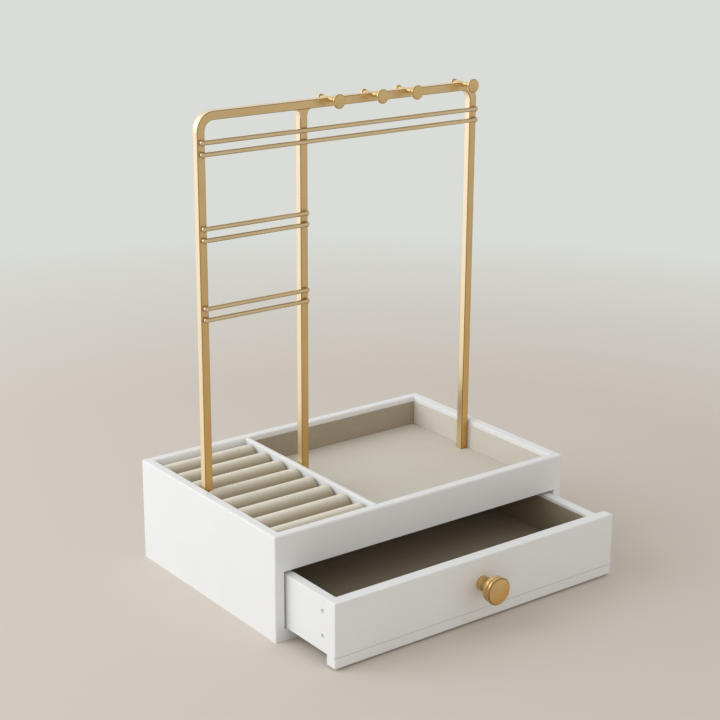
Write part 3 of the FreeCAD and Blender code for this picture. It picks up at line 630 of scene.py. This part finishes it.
def turned_gold(name, gold, deep, axis, radius, roughness=0.3):
    """Gold turned on a lathe: faint rings round an axis that points to the front, painted shade deepening
    the tone below, and a painted dark edge round the front.

    The axis goes through the place given, in millimetres.
    """
    finish, tree, shader = new_finish(name, Metallic=1.0)
    coordinates = add_node(tree, "TexCoord").outputs
    place = coordinates["Object"]
    centred = add_node(tree, "Mapping", Vector=place, Location=[-part / 1000 for part in axis]).outputs[0]
    flat = add_node(tree, "Mapping", Vector=centred, Scale=(1.0, 0.0, 1.0)).outputs[0]
    away = add_node(tree, "VectorMath", {"operation": "LENGTH"}, in0=flat).outputs["Value"]
    parts = add_node(tree, "SeparateXYZ", in0=centred).outputs
    run = add_node(tree, "Math", {"operation": "ADD"}, in0=away, in1=parts[1]).outputs[0]
    rings = add_node(tree, "TexNoise", {"noise_dimensions": "1D"}, W=run, Scale=3200.0, Detail=2.0)
    drift = add_node(tree, "TexNoise", Vector=place, Scale=80.0, Detail=2.0)
    # Painted shade: besides a random drift, the tone deepens towards the underside.
    tone = add_node(
        tree, "Math", {"operation": "ADD"}, in0=spread(tree, drift.outputs["Fac"], 0.3, 0.7, 0.0, 0.3),
        in1=spread(tree, parts[2], radius / 1000, -radius / 1000, 0.0, 0.7),
    )
    turned = blend_colours(tree, tone.outputs[0], gold, deep)
    facing = add_node(tree, "SeparateXYZ", in0=coordinates["Normal"]).outputs
    front = spread(tree, facing[1], 0.0, -1.0, 0.0, 1.0)
    # Painted dark reflection round the edge of the flat front.
    tree.links.new(painted_dark_edge(tree, turned, front, TURNED_EDGE), shader.inputs["Base Color"])
    ringed = spread(tree, rings.outputs["Fac"], 0.3, 0.7, roughness - 0.04, roughness + 0.08)
    tree.links.new(ringed, shader.inputs["Roughness"])
    relief = add_node(tree, "Bump", Strength=0.1, Distance=0.0001, Height=rings.outputs["Fac"])
    tree.links.new(relief.outputs[0], shader.inputs["Normal"])
    return finish


for number in range(1, PEGS + 1):
    low, high = (corner * 1000 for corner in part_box(f"peg_{number}"))
    middle = ((low.x + high.x) / 2, low.y, (low.z + high.z) / 2)
    peg_gold = turned_gold(
        f"peg_gold_{number}", gold=(0.82, 0.62, 0.31), deep=(0.70, 0.49, 0.21),
        axis=middle, radius=high.x - middle[0],
    )
    finish_node(f"peg_{number}", peg_gold)


# Screws
# Zinc-plated steel: one countersunk up into each post from under the tray floor, and
# three that hold the drawer's face and knob. All are covered once the stand is together.

SCREWS = (
    "post_screw_left", "post_screw_middle", "post_screw_right",
    "face_screw_left", "face_screw_right", "knob_screw",
)


def zinc(name):
    """Zinc plate: grey with pale spangles and a faint blue-yellow bloom."""
    finish, tree, shader = new_finish(name, Metallic=1.0)
    place = add_node(tree, "TexCoord").outputs["Object"]
    spangle = add_node(tree, "TexVoronoi", Vector=place, Scale=900.0)
    bloom = add_node(tree, "TexNoise", Vector=place, Scale=300.0, Detail=2.0)
    grey = blend_colours(tree, spangle.outputs["Distance"], (0.56, 0.57, 0.58), (0.46, 0.47, 0.47))
    bloomed = spread(tree, bloom.outputs["Fac"], 0.4, 0.7, 0.0, 0.4)
    tinted = blend_colours(tree, bloomed, grey, (0.6, 0.57, 0.47))
    tree.links.new(tinted, shader.inputs["Base Color"])
    tree.links.new(spread(tree, bloom.outputs["Fac"], 0.3, 0.7, 0.28, 0.42), shader.inputs["Roughness"])
    relief = add_node(tree, "Bump", Strength=0.1, Distance=0.0001, Height=spangle.outputs["Distance"])
    tree.links.new(relief.outputs[0], shader.inputs["Normal"])
    return finish


screw_zinc = zinc("screw_zinc")
for screw in SCREWS:
    finish_node(screw, screw_zinc)


# Drawer
# Sides, back and inner front are glued up with the overlay face into one box and painted
# with it. The face has a fine groove along its foot, and it covers the case's right side.

FACE_LOW, FACE_HIGH = (-130.5, -155, 1.5), (140, -145, 52.5)
BOX_SIDE, BOX_BACK, BOX_UNDER = 130.5, 31, 9.8
HOLD_SIDE, HOLD_FRONT, HOLD_BACK = 122.5, -135, 23
INNER_FRONT_TOP = 45
FACE_ROUND, BOX_ROUND = 1.0, 0.4
GROOVE_LOW, GROOVE_HIGH, GROOVE_BOTTOM = 9.6, 10.6, -154.2

# How far the shapes that cut the drawer and its linings reach, past all of it.
CLEAR_LEFT, CLEAR_RIGHT, CLEAR_FRONT, CLEAR_UNDER = -150, 150, -160, 10


def behind_face(at, face):
    """The back of the face board, where the box joins it."""
    on_back = at.y > FACE_HIGH[1] - 0.1 and abs(face.normal.y) > 0.9
    return on_back and at.x < BOX_SIDE - 1 and at.z > BOX_UNDER + 1


def over_hold(at, front):
    """Between the drawer's sides, from the front given to the back board."""
    return abs(at.x) < HOLD_SIDE - 1 and front < at.y < HOLD_BACK - 1


def face_arris(at, edge):
    """The top edges of the box and the face, and the face's front, right and lower edges."""
    return (
        at.z > FACE_HIGH[2] - 0.1 or at.y < FACE_LOW[1] + 0.1
        or at.x > FACE_HIGH[0] - 0.1 or at.z < FACE_LOW[2] + 0.1
    )


drawer = cut_board("drawer_shell", FACE_LOW, FACE_HIGH)
saw(drawer, "x", BOX_SIDE)
saw(drawer, "z", BOX_UNDER)
mark(drawer, "FACE", behind_face)
pull_out(y=BOX_BACK - FACE_HIGH[1])
saw(drawer, "x", -HOLD_SIDE, HOLD_SIDE)
saw(drawer, "y", FACE_HIGH[1], HOLD_FRONT, HOLD_BACK)
mark(drawer, "FACE", lambda at, item: over_hold(at, FACE_HIGH[1]) and at.z > FACE_HIGH[2] - 0.1)
pull_out(z=INNER_FRONT_TOP - FACE_HIGH[2])
mark(drawer, "FACE", lambda at, item: over_hold(at, HOLD_FRONT) and abs(item.normal.z) > 0.9)
bpy.ops.mesh.bridge_edge_loops()
tidy_faces(drawer)
round_over(drawer, FACE_ROUND, face_arris)
round_over(
    drawer, BOX_ROUND,
    lambda at, edge: longer_than(edge, SHORTEST_EASED) and at.z < INNER_FRONT_TOP + 0.1, steps=2,
)
groove = cut_board(
    "groove", (CLEAR_LEFT, CLEAR_FRONT, GROOVE_LOW), (CLEAR_RIGHT, GROOVE_BOTTOM, GROOVE_HIGH)
)
cut_away(drawer, groove)


# Pins
# Short wooden pins through the sides hold the inner front, two at each end. They sit a
# hair below the surface and were painted over, so they show as faint grey dots.

PIN_RADIUS, PIN_LENGTH, PIN_SUNK = 1.5, 20, 0.35
PIN_ROUND, PIN_ROOM, HOLE_PAST = 0.4, 0.05, 0.5
PIN_Y = -140
PINS = {"low": 22.5, "high": 41.8}
SIDES = {"left": -1, "right": 1}


def turned_pin(name, radius, side, height, sunk):
    """A round pin along X, from the drawer's side inwards, sunk by so much below the side."""
    clear_bench()
    middle = side * (BOX_SIDE - sunk - (PIN_LENGTH - sunk) / 2)
    bpy.ops.mesh.primitive_cylinder_add(
        vertices=32, radius=radius / 1000, depth=(PIN_LENGTH - sunk) / 1000,
        location=(middle / 1000, PIN_Y / 1000, height / 1000), rotation=(0, math.pi / 2, 0),
    )
    bpy.ops.object.transform_apply(location=True, rotation=True, scale=True)
    pin = bpy.context.active_object
    pin.name = pin.data.name = name
    return pin


pin_paint = satin_paint(
    "pin_paint", face=(0.56, 0.555, 0.54), shadowed=(0.50, 0.495, 0.48), worn=(0.45, 0.44, 0.42)
)
for end, side in SIDES.items():
    for level, height in PINS.items():
        cut_away(drawer, turned_pin("pin_hole", PIN_RADIUS + PIN_ROOM, side, height, -HOLE_PAST))
        pin = turned_pin(f"drawer_pin_{end}_{level}_painted", PIN_RADIUS, side, height, PIN_SUNK)
        mark(pin, "EDGE", end_rim)
        bpy.ops.mesh.bevel(offset=PIN_ROUND / 1000, segments=3, profile=0.5, affect="EDGES")
        shade(pin)
        pin.data.materials.append(pin_paint)
        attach(pin, "drawer")
        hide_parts(f"drawer_pin_{end}_{level}")
shade(drawer)
drawer.data.materials.append(white_paint)
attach(drawer, "drawer")
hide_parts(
    "drawer_face", "drawer_side_left", "drawer_side_right", "drawer_inner_front", "drawer_back"
)
finish_node("drawer_bottom", bare_board)


# Drawer linings
# Cards in dark taupe velvet on the drawer's floor and walls, a little below the rim. The
# velvet of the front card is carried over the top of the inner front, up to the face. The
# side cards get a darker copy of the velvet, painted shade for the shadow deep in the drawer.

FRONT_REACH, FRONT_RISE, SIDE_REACH = 10, 1.7, 11
SIDE_STEP, SIDE_STEP_RISE = -134, 0.7

taupe_velvet = velvet("taupe_velvet", pile=(0.43, 0.37, 0.275), shaded=(0.33, 0.275, 0.195), sheen=0.25)
# Painted shade: the side cards get a darker copy of the taupe velvet.
shaded_side_velvet = velvet(
    "taupe_velvet_nap_back", pile=(0.355, 0.30, 0.215), shaded=(0.265, 0.215, 0.145), sheen=0.2
)
clear_corner = (CLEAR_LEFT, CLEAR_FRONT, CLEAR_UNDER)
under_front = (clear_corner, (CLEAR_RIGHT, HOLD_FRONT, INNER_FRONT_TOP))
under_side = (clear_corner, (CLEAR_RIGHT, SIDE_STEP, INNER_FRONT_TOP + SIDE_STEP_RISE))
velvet_card(
    "drawer_floor_velvet", "drawer_floor_lining", taupe_velvet,
    "drawer",
)
velvet_card(
    "drawer_back_velvet", "drawer_lining_back", taupe_velvet,
    "drawer",
)
velvet_card(
    "drawer_front_velvet", "drawer_lining_front", taupe_velvet, "drawer",
    cuts=[under_front], grow={1: (FRONT_REACH, 0), 2: (0, FRONT_RISE)},
)
for wall in ("left", "right"):
    velvet_card(
        f"drawer_{wall}_velvet", f"drawer_lining_{wall}", shaded_side_velvet,
        "drawer", cuts=[under_side], grow={1: (SIDE_REACH, 0)},
    )


# Knob
# Turned brass: collar against the face, slim neck, and a head with a rounded back, a groove
# behind the rim and a flat front. A screw from inside the drawer holds it.

KNOB_AXIS, KNOB_RADIUS = (5, -175, 31.3), 10.9
# Its deep tone also serves as painted shade on the knob's underside.
knob_gold = turned_gold(
    "knob_gold", gold=(0.79, 0.58, 0.27), deep=(0.64, 0.34, 0.095),
    axis=KNOB_AXIS, radius=KNOB_RADIUS, roughness=0.27,
)
finish_node("knob", knob_gold)


# Floor, light and camera
# A pale warm table that runs out into a light grey ground, one large soft lamp from the
# upper left, a little behind, and even light from the room.

TABLE_TONE, WALL_TONE = (0.69, 0.622, 0.556), (0.70, 0.716, 0.68)
LIT_SIDE, FAR_SIDE = (1.0, 1.0, 1.0), (0.64, 0.62, 0.58)
LIT_WAY = (-0.6, 0.8, 0.0)
ROOM_TONE, ROOM_LEVEL, ROOM_ZENITH = (1.0, 0.99, 0.965, 1), 0.86, 0.56

# The sizes of the table, the lamp and their places, and the camera's place, are in metres.
TABLE_SIZE = 14
SEEN_FADE, MIRRORED_FADE = (0.45, 1.1), (0.12, 0.4)
LAMP_WAY, LAMP_AIM = Vector((-0.76, 0.38, 0.50)), Vector((0, -0.03, 0.1))
LAMP_DISTANCE, LAMP_SIZE, LAMP_POWER, LAMP_TONE = 2.2, 1.8, 27, (0.87, 0.94, 1.0)
CAMERA_PLACE = (-0.757819, -1.018111, 0.578305)
CAMERA_ROUND, CAMERA_DOWN, CAMERA_TILT = -36.893, 18.002, 0.321
CAMERA_LENS, CAMERA_SENSOR = 84.63, 36


def round_the_room(tree, place):
    """What metal shows of the room: white towards the window behind on the left, duller opposite."""
    way = add_node(tree, "VectorMath", {"operation": "NORMALIZE"}, in0=place).outputs[0]
    turned = add_node(tree, "VectorMath", {"operation": "DOT_PRODUCT"}, in0=way, in1=LIT_WAY)
    turned = spread(tree, turned.outputs["Value"], -0.3, 0.75, 0.0, 1.0)
    shown = blend_colours(tree, turned, FAR_SIDE, LIT_SIDE)
    rays = add_node(tree, "LightPath").outputs
    room_tone = blend_colours(tree, rays["Is Glossy Ray"], WALL_TONE, shown)
    seen = add_node(
        tree, "Math", {"operation": "MAXIMUM"}, in0=rays["Is Camera Ray"], in1=rays["Is Glossy Ray"]
    )
    return room_tone, seen.outputs[0], rays["Is Glossy Ray"]


clear_bench()
bpy.ops.mesh.primitive_plane_add(size=TABLE_SIZE, location=(0, 0, 0))
table = bpy.context.active_object
table.name = "floor"
floor_finish, tree, shader = new_finish("pale_table", Roughness=0.7, Specular_IOR_Level=0.2)
shader.inputs["Base Color"].default_value = (*TABLE_TONE, 1)
place = add_node(tree, "TexCoord").outputs["Object"]
away = add_node(tree, "VectorMath", {"operation": "LENGTH"}, in0=place).outputs["Value"]
room_tone, seen, glossy = round_the_room(tree, place)
seen_fade = spread(tree, away, *SEEN_FADE, 0.0, 1.0)
mirrored_fade = spread(tree, away, *MIRRORED_FADE, 0.0, 1.0)
fade = add_node(tree, "Mix", in0=glossy, in2=seen_fade, in3=mirrored_fade)
faded = add_node(tree, "Math", {"operation": "MULTIPLY"}, in0=fade.outputs[0], in1=seen)
ground = add_node(tree, "Emission", Color=room_tone, Strength=1.0)
mixed = add_node(tree, "MixShader", in0=faded.outputs[0], in1=shader.outputs[0], in2=ground.outputs[0])
tree.links.new(mixed.outputs[0], tree.nodes["Material Output"].inputs["Surface"])
table.data.materials.append(floor_finish)

world = bpy.data.worlds.new("room")
bpy.context.scene.world = world
world.use_nodes = True
tree = world.node_tree
room = tree.nodes["Background"]
room.inputs["Color"].default_value = ROOM_TONE
way = add_node(tree, "TexCoord").outputs["Generated"]
up = add_node(tree, "SeparateXYZ", in0=way).outputs[2]
tree.links.new(spread(tree, up, 0.0, 1.0, ROOM_LEVEL, ROOM_ZENITH), room.inputs["Strength"])
room_tone, seen, _ = round_the_room(tree, way)
behind = add_node(tree, "Background", Color=room_tone, Strength=1.0)
mixed = add_node(tree, "MixShader", in0=seen, in1=room.outputs[0], in2=behind.outputs[0])
tree.links.new(mixed.outputs[0], tree.nodes["World Output"].inputs["Surface"])

bpy.ops.object.light_add(type="AREA", location=LAMP_AIM + LAMP_WAY.normalized() * LAMP_DISTANCE)
lamp = bpy.context.active_object
lamp.data.shape, lamp.data.size, lamp.data.energy = "SQUARE", LAMP_SIZE, LAMP_POWER
lamp.data.color = LAMP_TONE
lamp.rotation_euler = LAMP_WAY.to_track_quat("Z", "Y").to_euler()

turn = Matrix.Rotation(math.radians(CAMERA_ROUND), 4, "Z")
turn = turn @ Matrix.Rotation(math.radians(90 - CAMERA_DOWN), 4, "X")
turn = turn @ Matrix.Rotation(math.radians(CAMERA_TILT), 4, "Z")
bpy.ops.object.camera_add(location=CAMERA_PLACE, rotation=turn.to_euler())
camera = bpy.context.active_object
camera.data.lens, camera.data.sensor_width = CAMERA_LENS, CAMERA_SENSOR
bpy.context.scene.camera = camera
bpy.context.scene.view_settings.view_transform = "Standard"
